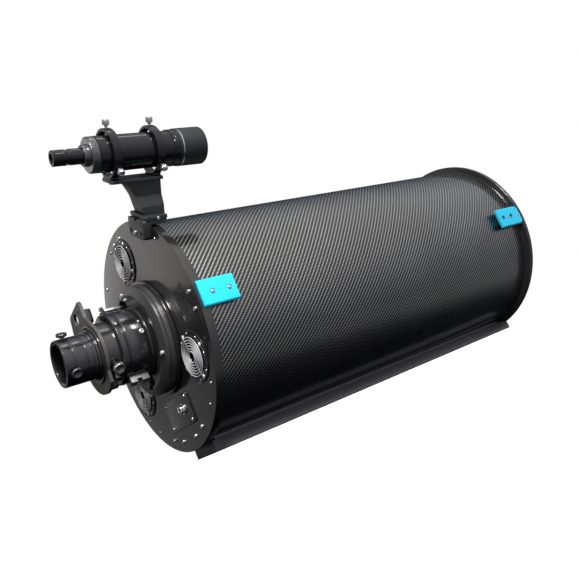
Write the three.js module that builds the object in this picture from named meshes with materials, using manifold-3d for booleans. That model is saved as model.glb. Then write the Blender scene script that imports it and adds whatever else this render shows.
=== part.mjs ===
// Carbon-fibre astrograph tube with a rear focuser, cooling fans, dovetail rail and side finder scope.
// Units are millimetres. +X runs along the optical axis towards the sky, +Z is up.
// The row origin is the centre of the dovetail rail's bottom face.

import * as THREE from 'three';
import { mergeVertices } from 'three/addons/utils/BufferGeometryUtils.js';
import Module from 'manifold-3d';

const wasm = await Module();
wasm.setup();

// ---------------------------------------------------------------- driving dimensions

const AXIS_HEIGHT = 209;          // optical axis above the dovetail's bottom face
const RAIL_START = 16;            // rail's rear end, measured from the rear plate's rear face
const RAIL_LENGTH = 775;
const GAP = 0.3;                  // clearance between neighbouring pieces

const TUBE_R = 186.8;             // carbon tube, outside
const TUBE_WALL = 3.5;
const TUBE_START = 14.3;
const TUBE_END = 774.7;

const PLATE_R = 193.5;            // rear plate
const PLATE_THICK = 14;
const PLATE_BORE_R = 64;

const FLANGE_R = 198.3;           // front ring
const FLANGE_START = 778.5;
const FLANGE_END = 788;
const APERTURE_R = 172;

const FAN_ANGLES = [90, -30, 210];
const FAN_RADIUS = 137;           // fan centre from the optical axis
const FAN_BORE_R = 30;

const BRACKET_ANGLES = { left: 180, right: 0 };
const BRACKET_WIDTH = 40;
const BRACKET_TOP = 199.2;        // bracket's flat top from the optical axis
const BRACKET_BASE = 193.9;

const RAIL_HALF = 50.8;
const RAIL_BOTTOM = -209;
const RAIL_TOP = -190;

const FINDER_ANGLE = 52;          // finder's direction round the tube: 0 is the near side, 90 is the top
const FINDER_RADIUS = 302;        // finder axis from the optical axis

const FINE = 48;                  // segments round the largest circles
const ROUND = 36;
const MEDIUM = 32;
const FINDER_SEGMENTS = 24;
const SMALL = 16;
const TINY = 8;

// ---------------------------------------------------------------- colours

const material = (color, roughness, metalness) =>
  new THREE.MeshStandardMaterial({ color, roughness, metalness });

const MATERIALS = {
  carbon: material(0x15171a, 0.3, 0.2),
  anodised: material(0x17181a, 0.45, 0.6),
  teal: material(0x2bd4f0, 0.5, 0.3),
  steel: material(0xb9bcc0, 0.3, 0.9),
  bracket: material(0x3c3a38, 0.5, 0.6),
  finderBlack: material(0x101113, 0.4, 0.3),
  plastic: material(0x0d0d0e, 0.6, 0.0),
  mirror: material(0xdfe6ea, 0.03, 1.0),
  lens: material(0x9fc4c8, 0.05, 0.1),
};

// ---------------------------------------------------------------- geometry helpers

const radians = (degrees) => (degrees * Math.PI) / 180;

// A closed geometry as a manifold solid.
function solid(geometry) {
  const bare = geometry.clone();
  bare.deleteAttribute('normal');
  bare.deleteAttribute('uv');
  const merged = mergeVertices(bare, 1e-4);
  const points = merged.attributes.position.array;
  const index = merged.index.array;
  const triangles = [];
  for (let i = 0; i < index.length; i += 3) {
    const [a, b, c] = [index[i], index[i + 1], index[i + 2]];
    if (a !== b && b !== c && a !== c) triangles.push(a, b, c);
  }
  if (signedVolume(points, triangles) < 0) {
    for (let i = 0; i < triangles.length; i += 3) {
      [triangles[i + 1], triangles[i + 2]] = [triangles[i + 2], triangles[i + 1]];
    }
  }
  return new wasm.Manifold(new wasm.Mesh({
    numProp: 3,
    vertProperties: new Float32Array(points),
    triVerts: new Uint32Array(triangles),
  }));
}

function signedVolume(points, triangles) {
  const a = new THREE.Vector3();
  const b = new THREE.Vector3();
  const c = new THREE.Vector3();
  let total = 0;
  for (let i = 0; i < triangles.length; i += 3) {
    a.fromArray(points, triangles[i] * 3);
    b.fromArray(points, triangles[i + 1] * 3);
    c.fromArray(points, triangles[i + 2] * 3);
    total += a.dot(b.cross(c));
  }
  return total;
}

function geometryOf(body) {
  const mesh = body.getMesh();
  const geometry = new THREE.BufferGeometry();
  geometry.setAttribute('position', new THREE.BufferAttribute(new Float32Array(mesh.vertProperties), 3));
  geometry.setIndex(new THREE.BufferAttribute(new Uint32Array(mesh.triVerts), 1));
  geometry.computeVertexNormals();
  return geometry;
}

function addPiece(parent, name, body, look) {
  const mesh = new THREE.Mesh(geometryOf(body), look);
  mesh.name = name;
  parent.add(mesh);
  return mesh;
}

// A solid of revolution about X. The profile is a list of [x, radius] points; it closes on itself.
function turned(profile, segments = MEDIUM) {
  const points = profile.map(([x, r]) => new THREE.Vector2(r, x));
  points.push(points[0].clone());
  const geometry = new THREE.LatheGeometry(points, segments);
  geometry.rotateZ(-Math.PI / 2);
  return solid(geometry);
}

// A plain ring or disc about X.
const ring = (x0, x1, outer, inner, segments = MEDIUM) =>
  turned([[x0, inner], [x1, inner], [x1, outer], [x0, outer]], segments);

// A plain rod about X.
const rod = (x0, x1, radius, segments = SMALL) =>
  turned([[x0, 0], [x0, radius], [x1, radius], [x1, 0]], segments);

// A stepped screw or shaft: stacked [length, radius] steps along +X from x0.
function stepped(x0, steps, segments = TINY) {
  const profile = [[x0, 0]];
  let x = x0;
  for (const [length, radius] of steps) {
    profile.push([x, radius], [x + length, radius]);
    x += length;
  }
  profile.push([x, 0]);
  return turned(profile, segments);
}

const box = (x0, x1, y0, y1, z0, z1) => {
  const geometry = new THREE.BoxGeometry(x1 - x0, y1 - y0, z1 - z0);
  geometry.translate((x0 + x1) / 2, (y0 + y1) / 2, (z0 + z1) / 2);
  return solid(geometry);
};

// Extrudes an outline given in (y, z) along X.
function extrudedX(outline, x0, x1) {
  const all = outline instanceof THREE.Shape ? outline.getPoints(3) : outline;
  const corners = all.filter((corner, i) => corner.distanceTo(all[(i + 1) % all.length]) > 1e-3);
  const geometry = new THREE.ExtrudeGeometry(new THREE.Shape(corners), { depth: x1 - x0, bevelEnabled: false });
  geometry.applyMatrix4(new THREE.Matrix4().makeBasis(
    new THREE.Vector3(0, 1, 0), new THREE.Vector3(0, 0, 1), new THREE.Vector3(1, 0, 0)));
  geometry.translate(x0, 0, 0);
  return solid(geometry);
}

const point = (y, z) => new THREE.Vector2(y, z);

// A rectangle in (y, z) with rounded corners.
function roundedOutline(y0, y1, z0, z1, r) {
  const shape = new THREE.Shape();
  shape.moveTo(y0 + r, z0);
  shape.lineTo(y1 - r, z0);
  shape.absarc(y1 - r, z0 + r, r, -Math.PI / 2, 0, false);
  shape.lineTo(y1, z1 - r);
  shape.absarc(y1 - r, z1 - r, r, 0, Math.PI / 2, false);
  shape.lineTo(y0 + r, z1);
  shape.absarc(y0 + r, z1 - r, r, Math.PI / 2, Math.PI, false);
  shape.lineTo(y0, z0 + r);
  shape.absarc(y0 + r, z0 + r, r, Math.PI, 1.5 * Math.PI, false);
  return shape;
}

// Moves a solid that is built about X so that its axis runs along +Z from the origin.
const upright = (body) => body.rotate([0, -90, 0]);

// A direction round the tube as a (y, z) pair: 0 degrees is the near side (-Y), 90 is the top.
const around = (degrees, radius) => [-radius * Math.cos(radians(degrees)), radius * Math.sin(radians(degrees))];

// A group whose own +Z points away from the optical axis at the given angle round the tube.
function radialGroup(parent, degrees) {
  const group = new THREE.Group();
  group.rotation.x = radians(90 - degrees);
  parent.add(group);
  return group;
}

// ---------------------------------------------------------------- the frame everything hangs on

const telescope = new THREE.Group();
const axisFrame = new THREE.Group();   // x = 0 at the rear plate's rear face, optical axis along x
axisFrame.position.set(-(RAIL_START + RAIL_LENGTH / 2), 0, AXIS_HEIGHT);
telescope.add(axisFrame);

// ---------------------------------------------------------------- main tube

function buildTube() {
  addPiece(axisFrame, 'carbon_tube', ring(TUBE_START, TUBE_END, TUBE_R, TUBE_R - TUBE_WALL, FINE), MATERIALS.carbon);
}

function buildRearPlate() {
  const spigotR = TUBE_R - TUBE_WALL - GAP;
  let plate = turned([
    [0, PLATE_BORE_R], [0, PLATE_R], [PLATE_THICK, PLATE_R], [PLATE_THICK, spigotR],
    [30, spigotR], [30, 176], [PLATE_THICK, 176], [PLATE_THICK, PLATE_BORE_R],
  ], FINE);
  for (const angle of FAN_ANGLES) {
    const [y, z] = around(angle, FAN_RADIUS);
    plate = plate.subtract(rod(-1, 31, FAN_BORE_R, SMALL).translate([0, y, z]));
  }
  addPiece(axisFrame, 'rear_plate', plate, MATERIALS.anodised);
}

function buildFrontRing() {
  const spigotR = TUBE_R - TUBE_WALL - GAP;
  const body = turned([
    [760, APERTURE_R], [FLANGE_END, APERTURE_R], [FLANGE_END, FLANGE_R], [FLANGE_START, FLANGE_R],
    [FLANGE_START, TUBE_R], [TUBE_END + GAP, TUBE_R], [TUBE_END + GAP, spigotR], [760, spigotR],
  ], FINE);
  addPiece(axisFrame, 'front_ring', body, MATERIALS.anodised);
}

// ---------------------------------------------------------------- optics inside the tube

const MIRROR_R = 162;
const MIRROR_BACK = 76.3;
const MIRROR_EDGE = 40;
const MIRROR_CURVE = 1900;        // radius of curvature of the primary
const BAFFLE_R = 43.5;

function sphericalFace(xPole, curve, rFrom, rTo, steps, sign) {
  const points = [];
  for (let i = 0; i <= steps; i++) {
    const r = rFrom + ((rTo - rFrom) * i) / steps;
    points.push([xPole + sign * (curve - Math.sqrt(curve * curve - r * r)), r]);
  }
  return points;
}

function buildPrimary() {
  const cell = ring(62, 76, 168, 50);
  const posts = [30, 150, 270].map((angle) => {
    const [y, z] = around(angle, 122);
    return rod(PLATE_THICK + GAP, 63, 8, TINY).translate([0, y, z]);
  });
  let frame = posts.reduce((body, post) => body.add(post), cell);
  for (const angle of FAN_ANGLES) {
    const [y, z] = around(angle, 112);
    frame = frame.subtract(rod(60, 78, 26, SMALL).translate([0, y, z]));
  }
  addPiece(axisFrame, 'mirror_cell', frame, MATERIALS.anodised);

  const pole = MIRROR_BACK + 33;
  const face = sphericalFace(pole, MIRROR_CURVE, 48, MIRROR_R, 3, 1);
  const mirror = turned([[MIRROR_BACK, MIRROR_R], [MIRROR_BACK, 48], ...face]);
  addPiece(axisFrame, 'primary_mirror', mirror, MATERIALS.mirror);
}

function buildCorrector() {
  const cell = turned([
    [14.3, 38], [14.3, 60], [20, 60], [20, BAFFLE_R], [58, BAFFLE_R], [58, 38],
  ]);
  addPiece(axisFrame, 'corrector_cell', cell, MATERIALS.anodised);

  const rearFace = sphericalFace(23, 260, 0, 37.7, 3, 1);
  const rearLens = turned([...rearFace, [33, 37.7], [33, 0]], SMALL);
  addPiece(axisFrame, 'corrector_lens_rear', rearLens, MATERIALS.lens);

  const frontFace = sphericalFace(52, 180, 0, 37.7, 3, -1);
  const frontLens = turned([...frontFace, [40, 37.7], [40, 0]], SMALL);
  addPiece(axisFrame, 'corrector_lens_front', frontLens, MATERIALS.lens);

  const profile = [[58.3, 41.5], [385, 41.5], [385, BAFFLE_R], [58.3, BAFFLE_R]];
  addPiece(axisFrame, 'primary_baffle', turned(profile), MATERIALS.anodised);
}

function buildSecondary() {
  const hubInner = 26.3;
  const hubOuter = 32;
  let spider = ring(684, 728, hubOuter, hubInner);
  const vaneOuter = TUBE_R - TUBE_WALL - GAP;
  for (let i = 0; i < 4; i++) {
    const vane = box(690, 722, -0.9, 0.9, hubOuter - 2, vaneOuter - 1.2);
    const foot = box(688, 724, -9, 9, vaneOuter - 4, vaneOuter - 0.5);
    spider = spider.add(vane.add(foot).rotate([45 + 90 * i, 0, 0]));
  }
  addPiece(axisFrame, 'spider', spider, MATERIALS.anodised);

  const cell = turned([
    [652, 0], [652, 56], [660, 56], [672, 26], [742, 26], [742, 0],
  ]);
  addPiece(axisFrame, 'secondary_cell', cell, MATERIALS.anodised);

  const convex = sphericalFace(629, 900, 0, 55, 3, 1);
  addPiece(axisFrame, 'secondary_mirror', turned([...convex, [651.7, 55], [651.7, 0]]), MATERIALS.mirror);
}

// ---------------------------------------------------------------- dovetail rail

function buildRail() {
  const railEnd = RAIL_START + RAIL_LENGTH;
  const bevel = 44;
  const outline = [
    point(-RAIL_HALF, RAIL_BOTTOM), point(RAIL_HALF, RAIL_BOTTOM), point(RAIL_HALF, RAIL_BOTTOM + 5),
    point(bevel, RAIL_TOP), point(-bevel, RAIL_TOP), point(-RAIL_HALF, RAIL_BOTTOM + 5),
  ];
  let rail = extrudedX(outline, RAIL_START, railEnd);
  rail = rail.subtract(rod(FLANGE_START - 1.5, railEnd + 1, FLANGE_R + 0.6, FINE));
  const corner = 9;
  for (const x of [RAIL_START, railEnd]) {
    for (const y of [-RAIL_HALF, RAIL_HALF]) {
      const cutter = box(-corner, corner, -corner, corner, RAIL_BOTTOM - 1, RAIL_TOP + 1)
        .rotate([0, 0, 45]).translate([x, y, 0]);
      rail = rail.subtract(cutter);
    }
  }
  for (const x of [RAIL_START + 12, RAIL_START + 30, railEnd - 30, railEnd - 48]) {
    for (const y of [-26, 26]) {
      const bore = upright(stepped(-1, [[9, 5.5], [12, 3.3]])).translate([x, y, RAIL_BOTTOM]);
      rail = rail.subtract(bore);
    }
  }
  addPiece(axisFrame, 'dovetail_rail', rail, MATERIALS.anodised);

  const halfPad = 34;
  const seatR = TUBE_R + GAP;
  const steps = 8;
  const padOutline = [point(-halfPad, RAIL_TOP + GAP), point(halfPad, RAIL_TOP + GAP)];
  for (let i = 0; i <= steps; i++) {
    const y = halfPad - (2 * halfPad * i) / steps;
    padOutline.push(point(y, -Math.sqrt(seatR * seatR - y * y) - 0.2));
  }
  addPiece(axisFrame, 'rail_pad_rear', extrudedX(padOutline, 22, 395), MATERIALS.anodised);
  addPiece(axisFrame, 'rail_pad_front', extrudedX(padOutline, 395 + GAP, 768), MATERIALS.anodised);
}

// ---------------------------------------------------------------- accessory brackets

function bracketBody(x0, x1, footSpans, chamferEnd) {
  const half = BRACKET_WIDTH / 2;
  const outline = [
    point(-half, BRACKET_BASE), point(half, BRACKET_BASE), point(half, BRACKET_TOP - 2),
    point(half - 2, BRACKET_TOP), point(-half + 2, BRACKET_TOP), point(-half, BRACKET_TOP - 2),
  ];
  let body = extrudedX(outline, x0, x1);
  for (const [from, to] of footSpans) {
    body = body.add(box(from, to, -9, 9, TUBE_R + 0.6, BRACKET_BASE + 1));
  }
  if (chamferEnd) {
    for (const side of [-1, 1]) {
      const cutter = box(-5, 5, -5, 5, BRACKET_BASE - 1, BRACKET_TOP + 1)
        .rotate([0, 0, 45]).translate([x1, side * half, 0]);
      body = body.subtract(cutter);
    }
  }
  return body;
}

function buildBrackets() {
  for (const [side, angle] of Object.entries(BRACKET_ANGLES)) {
    const group = radialGroup(axisFrame, angle);
    const rear = bracketBody(3, 63, [[40, 58]], false);
    addPiece(group, `rear_bracket_${side}`, rear, MATERIALS.teal);
    const front = bracketBody(707, FLANGE_START - GAP, [[714, 732], [752, 770]], true);
    addPiece(group, `front_bracket_${side}`, front, MATERIALS.teal);
  }
}

// ---------------------------------------------------------------- cooling fans and electronics

function fanGroup(angle) {
  const group = new THREE.Group();
  group.position.z = FAN_RADIUS;
  radialGroup(axisFrame, angle).add(group);
  return group;
}

function fanRotor() {
  let rotor = rod(17, 31, 12, SMALL);
  const blades = 7;
  for (let i = 0; i < blades; i++) {
    const blade = box(-4.5, 4.5, -0.9, 0.9, 10, 25)
      .rotate([0, 0, 40]).translate([24, 0, 0]).rotate([(360 / blades) * i, 0, 0]);
    rotor = rotor.add(blade);
  }
  return rotor;
}

// Wire finger guard: rings joined by four arms, on legs that stand on the cover ring.
function fanGuard() {
  const wire = 1.1;
  const plane = -4.6;
  let guard = ring(plane - wire / 2, plane + wire / 2, 26 + wire / 2, 26 - wire / 2, SMALL);
  guard = guard.add(ring(plane - wire / 2, plane + wire / 2, 12 + wire / 2, 12 - wire / 2, TINY));
  for (let i = 0; i < 4; i++) {
    const arm = box(plane - 0.5, plane + 0.5, -0.6, 0.6, 11, 34);
    const leg = box(plane - 0.5, -2.3, -1.6, 1.6, 32, 36);
    guard = guard.add(arm.add(leg).rotate([45 + 90 * i, 0, 0]));
  }
  return guard;
}

function buildFans() {
  FAN_ANGLES.forEach((angle, i) => {
    const group = fanGroup(angle);
    const number = i + 1;
    const cover = ring(-2, -GAP, 40.2, FAN_BORE_R, SMALL);
    addPiece(group, `fan_cover_${number}`, cover, MATERIALS.anodised);

    const housing = box(PLATE_THICK + GAP, 34, -30, 30, -30, 30)
      .subtract(rod(13, 31, 27.5));
    const vents = [0, 120, 240].map((turn) => box(29, 36, -8, 8, 15, 26).rotate([turn, 0, 0]));
    const frame = vents.reduce((body, vent) => body.subtract(vent), housing);
    addPiece(group, `fan_frame_${number}`, frame, MATERIALS.plastic);

    addPiece(group, `fan_rotor_${number}`, fanRotor().translate([-1.5, 0, 0]), MATERIALS.plastic);
    addPiece(group, `fan_guard_${number}`, fanGuard(), MATERIALS.steel);
  });
}

function buildElectronics() {
  const cover = extrudedX(roundedOutline(-47, 47, -154, -104, 4), -3.3, -GAP)
    .subtract(rod(-5, 1, 7.3, TINY).translate([0, -23, -127]));
  addPiece(axisFrame, 'electronics_cover', cover, MATERIALS.anodised);
}

// ---------------------------------------------------------------- focuser

const THUMBSCREWS = [['upper', 62], ['lower', -38]];
const THUMBSCREW_X = -143;
const DRAWTUBE_R = 40;
const DRAWTUBE_END = -10;
const BODY_BORE_R = DRAWTUBE_R + GAP;
const NOSE_R = 46.5;              // rear nose of the focuser body
const SHAFT_Y = 14;
const SHAFT_Z = 66.5;

function buildFocuserBase() {
  const adapter = turned([
    [PLATE_THICK, 46], [PLATE_THICK, PLATE_BORE_R - GAP], [-GAP, PLATE_BORE_R - GAP],
    [-GAP, 96.2], [-6, 96.2], [-6, 46],
  ], ROUND);
  addPiece(axisFrame, 'focuser_adapter_plate', adapter, MATERIALS.anodised);

  let flange = turned([
    [-6.3, 46], [-6.3, 91.5], [-20.5, 91.5], [-26, 78], [-26, 76], [-22, 73], [-22, 46],
  ], ROUND);
  for (const side of [1, -1]) {
    const pocket = rod(-30, -12, 12, SMALL).translate([0, SHAFT_Y, side * SHAFT_Z]);
    flange = flange.subtract(pocket);
  }
  addPiece(axisFrame, 'focuser_flange', flange, MATERIALS.anodised);

  const body = turned([
    [-22.3, BODY_BORE_R], [-22.3, 58], [-76, 58], [-76, NOSE_R],
    [-103.5, NOSE_R], [-103.5, BODY_BORE_R],
  ], ROUND);
  addPiece(axisFrame, 'focuser_body', body, MATERIALS.anodised);
}

function buildDrive() {
  const shaft = rod(-58, -12.4, 4.6, 6).translate([0, SHAFT_Y, SHAFT_Z]);
  addPiece(axisFrame, 'focus_drive_shaft', shaft, MATERIALS.steel);

  // The drive plate clamps round the body's nose and carries an empty motor seat on its upper ear.
  const nearR = 52;
  const lobeR = 64;
  const plate = new THREE.Shape();
  plate.moveTo(nearR * Math.cos(radians(150)), nearR * Math.sin(radians(150)));
  plate.lineTo(-15, 58);
  plate.lineTo(-12, 83);
  plate.lineTo(-7, 86.5);
  plate.lineTo(48, 81);
  plate.lineTo(53, 77);
  plate.lineTo(61, 50);
  plate.absarc(0, 0, lobeR, radians(18), radians(-122), true);
  plate.absarc(0, 0, nearR, radians(-135), radians(-210), true);
  const holes = [[0, 0, NOSE_R + GAP, ROUND], [24, 67, 10.5, SMALL], [1, 72, 2.4, TINY], [46, 69, 2.4, TINY]];
  const bracket = holes.reduce(
    (body, [y, z, r, segments]) => body.subtract(rod(-102, -95, r, segments).translate([0, y, z])),
    extrudedX(plate, -101, -96));
  addPiece(axisFrame, 'motor_bracket', bracket, MATERIALS.bracket);

  // A notched block under the body sets the drawtube's tension.
  const tensionBlock = box(-68, -38, -6, 6, 58 + GAP, 69.5).subtract(box(-58, -50, -8, 8, 64.5, 72));
  addPiece(radialGroup(axisFrame, -72), 'tension_block', tensionBlock, MATERIALS.steel);
}

function buildDrawtube() {
  const tube = turned([
    [-106.7, 33], [-106.7, DRAWTUBE_R], [DRAWTUBE_END, DRAWTUBE_R],
    [DRAWTUBE_END, 37.5], [-90, 37.5], [-90, 33],
  ], ROUND);
  addPiece(axisFrame, 'drawtube', tube, MATERIALS.anodised);

  const boreR = 29.8;
  let adapter = turned([
    [-155, boreR], [-155, 36.7], [-112, 36.7], [-112, 38.6], [-107, 38.6], [-107, boreR],
  ], ROUND);
  for (const [, angle] of THUMBSCREWS) {
    const hole = upright(rod(25, 42, 2.6, TINY)).rotate([90 - angle, 0, 0]).translate([THUMBSCREW_X, 0, 0]);
    adapter = adapter.subtract(hole);
  }
  addPiece(axisFrame, 'eyepiece_adapter', adapter, MATERIALS.anodised);
}

// A thumbscrew about +Z: a shank from rInner, a collar and a knurled head.
function thumbscrew(rInner, shank, headR, headLength, shankR = 2.2) {
  const steps = [[shank, shankR], [2, headR * 0.55], [headLength, headR], [1, headR - 1]];
  return upright(stepped(rInner, steps, TINY));
}

function buildFocuserScrews() {
  for (const [name, angle] of THUMBSCREWS) {
    const group = radialGroup(axisFrame, angle);
    const screw = thumbscrew(30.3, 8.6, 8, 4).translate([THUMBSCREW_X, 0, 0]);
    addPiece(group, `adapter_thumbscrew_${name}`, screw, MATERIALS.steel);
  }
  const lock = radialGroup(axisFrame, -41);
  const knob = thumbscrew(NOSE_R + GAP, 8, 9, 6, 3.4).translate([-85.5, 0, 0]);
  addPiece(lock, 'drawtube_lock_knob', knob, MATERIALS.plastic);
}

// ---------------------------------------------------------------- finder scope

const BAR_TOP = 265.5;
const SHOE_TOP = 208.6;
const RING_R = 35.6;
const RING_BORE_R = 31;
const FINDER_TUBE_R = 26;
const RING_STATIONS = { rear: -45, front: 22 };
const SCREW_TURNS = { top: 0, near: 120, far: -120 };

function buildFinderMount(finder) {
  const halfFoot = 27;
  const plate = extrudedX(roundedOutline(-halfFoot, halfFoot, 172, 202, 5), -13, -GAP);
  const shelf = box(-1, 26, -halfFoot, halfFoot, 195.5, 202);
  const foot = plate.add(shelf).subtract(box(-14, 27, -4, 4, 198.5, 203));
  addPiece(finder, 'finder_foot', foot, MATERIALS.finderBlack);

  const profile = new THREE.Shape([
    point(-17, SHOE_TOP - 6), point(17, SHOE_TOP - 6), point(17, 221), point(11, 237),
    point(11, BAR_TOP - 5.8), point(-11, BAR_TOP - 5.8), point(-11, 237), point(-17, 221),
  ]);
  let stalk = extrudedX(profile, -30, 28.5);
  const scoopR = 150;
  const scoop = rod(-40, 40, scoopR, 96).rotate([0, 0, 90]).translate([-149.5, 0, 170.6]);
  stalk = stalk.subtract(scoop);
  const shoe = box(-8, 27, -28, 28, 202.3, SHOE_TOP);
  addPiece(finder, 'finder_stalk', stalk.add(shoe), MATERIALS.finderBlack);

  const bar = extrudedX(roundedOutline(-19, 19, BAR_TOP - 5.5, BAR_TOP, 1.5), -51, 29);
  addPiece(finder, 'finder_ring_bar', bar, MATERIALS.finderBlack);
}

function buildFinderRings(finder) {
  for (const [place, station] of Object.entries(RING_STATIONS)) {
    const x0 = station - 6;
    const x1 = station + 6;
    let body = ring(x0, x1, RING_R, RING_BORE_R).translate([0, 0, FINDER_RADIUS]);
    const seat = box(x0, x1, -14, 14, BAR_TOP + GAP, FINDER_RADIUS - RING_BORE_R - 0.6);
    body = body.add(seat);
    for (const turn of Object.values(SCREW_TURNS)) {
      const hole = upright(rod(25, 42, 2.4, TINY)).rotate([turn, 0, 0]).translate([station, 0, FINDER_RADIUS]);
      body = body.subtract(hole);
    }
    addPiece(finder, `finder_ring_${place}`, body, MATERIALS.finderBlack);

    for (const [side, turn] of Object.entries(SCREW_TURNS)) {
      const group = new THREE.Group();
      group.position.set(station, 0, FINDER_RADIUS);
      group.rotation.x = radians(turn);
      finder.add(group);
      const screw = upright(stepped(FINDER_TUBE_R + 0.4, [[14, 2], [2, 3.4], [4.5, 4.6], [0.8, 3.8]], TINY));
      addPiece(group, `finder_screw_${place}_${side}`, screw, MATERIALS.steel);
    }
  }
}

function buildFinderScope(finder) {
  const scope = new THREE.Group();
  scope.position.z = FINDER_RADIUS;
  finder.add(scope);

  const tube = turned([
    [-66, 23.5], [-66, FINDER_TUBE_R], [48, FINDER_TUBE_R], [48, 27.4], [58, 27.4], [58, 24.5], [47, 24.5], [47, 23.5],
  ], FINDER_SEGMENTS);
  addPiece(scope, 'finder_tube', tube, MATERIALS.finderBlack);

  const front = sphericalFace(57, 200, 0, 24.2, 2, -1);
  addPiece(scope, 'finder_objective', turned([...front, [49, 24.2], [49, 0]], SMALL), MATERIALS.lens);

  const shade = turned([
    [58.3, 24.5], [58.3, 28.5], [104, 28.5], [104, 26.3], [62, 26.3], [62, 24.5],
  ], FINDER_SEGMENTS);
  addPiece(scope, 'finder_dew_shield', shade, MATERIALS.finderBlack);

  const holder = turned([
    [-66.3, 11.6], [-66.3, 25.8], [-77, 25.8], [-77, 15], [-85, 15], [-85, 11.6],
  ], FINDER_SEGMENTS);
  addPiece(scope, 'finder_eyepiece_holder', holder, MATERIALS.finderBlack);

  const eyepiece = turned([
    [-127, 6.5], [-127, 11.2], [-62, 11.2], [-62, 7.5], [-120, 7.5], [-120, 6.5],
  ], SMALL);
  addPiece(scope, 'finder_eyepiece', eyepiece, MATERIALS.finderBlack);
}

function buildFinder() {
  const finder = radialGroup(axisFrame, FINDER_ANGLE);
  buildFinderMount(finder);
  buildFinderRings(finder);
  buildFinderScope(finder);
}

// ---------------------------------------------------------------- assembly

buildTube();
buildRearPlate();
buildFrontRing();
buildPrimary();
buildCorrector();
buildSecondary();
buildRail();
buildBrackets();
buildFans();
buildElectronics();
buildFocuserBase();
buildDrive();
buildDrawtube();
buildFocuserScrews();
buildFinder();

export default telescope;
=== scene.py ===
"""Looks for a carbon-fibre astrograph: rear focuser, three fans, dovetail rail and a side finder scope.

Lengths are in millimetres in the axis frame (x = 0 at the rear plate's rear face, y = z = 0 on the
optical axis) until piece() turns them into the row frame in metres.
"""

import math

import bmesh
import bpy
from mathutils import Matrix, Vector


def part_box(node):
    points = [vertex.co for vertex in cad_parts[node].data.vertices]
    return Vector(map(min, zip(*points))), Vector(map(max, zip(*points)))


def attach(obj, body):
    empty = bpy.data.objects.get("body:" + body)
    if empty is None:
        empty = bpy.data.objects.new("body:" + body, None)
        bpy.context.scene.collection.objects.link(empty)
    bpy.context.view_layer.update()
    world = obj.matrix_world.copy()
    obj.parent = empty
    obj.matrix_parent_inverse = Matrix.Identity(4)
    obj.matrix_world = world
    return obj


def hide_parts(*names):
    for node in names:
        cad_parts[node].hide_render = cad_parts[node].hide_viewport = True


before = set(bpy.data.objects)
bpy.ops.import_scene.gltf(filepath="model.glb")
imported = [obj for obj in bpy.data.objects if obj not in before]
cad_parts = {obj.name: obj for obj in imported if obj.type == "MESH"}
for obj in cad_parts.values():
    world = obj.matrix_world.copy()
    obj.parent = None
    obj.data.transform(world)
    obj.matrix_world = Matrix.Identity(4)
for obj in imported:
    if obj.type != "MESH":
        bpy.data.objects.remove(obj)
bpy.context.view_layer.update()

# ---------------------------------------------------------------- frame and driving dimensions

PLATE_LOW, PLATE_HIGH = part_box("rear_plate")
REAR_X = PLATE_LOW.x
AXIS_Z = (PLATE_LOW.z + PLATE_HIGH.z) / 2
ROW = Matrix.Translation((REAR_X, 0, AXIS_Z)) @ Matrix.Scale(0.001, 4)

TUBE_R = 186.8
TUBE_BORE = 183.3
PLATE_R = 193.5
FLANGE_R = 198.3
APERTURE_R = 172
FAN_ANGLES = (90, -30, 210)
FAN_RADIUS = 137
FAN_BORE = 30
FAN_BLADES = 7
BRACKET_ANGLES = {"left": 180, "right": 0}
BRACKET_TOP = 199.2
BRACKET_BASE = 193.9
RAIL_START, RAIL_END = 16, 791
RAIL_HALF = 50.8
RAIL_BOTTOM, RAIL_TOP = -209, -190
RAIL_SCREW_X = (28, 46, 743, 761)
FINDER_ANGLE = 52
FINDER_RADIUS = 302
FINDER_TUBE_R = 26
SHOE_TOP = 208.6
BAR_TOP = 265.5
RING_STATIONS = {"rear": -45, "front": 22}
SCREW_TURNS = {"top": 0, "near": 120, "far": -120}
THUMBSCREW_ANGLES = {"upper": 62, "lower": -38}
SHAFT_Y, SHAFT_Z = 14, 66.5
MOTOR_SEAT = (24, 67, 10.5)       # y, z and radius
BODY_R = 58
NOSE_R = 46.5
ADAPTER_R = 36.7
ADAPTER_X = -143
LOCK_X, LOCK_ANGLE = -85.5, -41
SOCKET_Y, SOCKET_Z = -23, -127
WALL = "tube_assembly"


def roll(degrees):
    """A turn about X."""
    return Matrix.Rotation(math.radians(degrees), 4, "X")


def radial(degrees):
    """A frame whose +Z points away from the optical axis: 0 is the near side, 90 is the top."""
    return roll(90 - degrees)


FINDER = radial(FINDER_ANGLE)
FINDER_AXIS = FINDER @ Matrix.Translation((0, 0, FINDER_RADIUS))


def around(degrees, radius):
    """(y, z) of a point round the optical axis."""
    angle = math.radians(degrees)
    return -radius * math.cos(angle), radius * math.sin(angle)


# ---------------------------------------------------------------- mesh helpers


def finish_mesh(bm, name, sharp, merge_distance):
    """Turns a bmesh into a mesh with smooth faces and sharp edges, and frees the bmesh."""
    bmesh.ops.remove_doubles(bm, verts=bm.verts, dist=merge_distance)
    bmesh.ops.recalc_face_normals(bm, faces=bm.faces)
    mesh = bpy.data.meshes.new(name)
    bm.to_mesh(mesh)
    bm.free()
    mesh.shade_smooth()
    mesh.set_sharp_from_angle(angle=math.radians(sharp))
    return mesh


def piece(name, bm, material, body=WALL, nodes=(), place=Matrix(), sharp=32):
    """Makes the object in the row frame, in metres, and lets it ride on its body."""
    bm.transform(ROW @ place)
    mesh = finish_mesh(bm, name, sharp, 1e-7)
    obj = bpy.data.objects.new(name, mesh)
    bpy.context.scene.collection.objects.link(obj)
    mesh.materials.append(material)
    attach(obj, body)
    if nodes:
        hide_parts(*nodes)
    return obj


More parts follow.
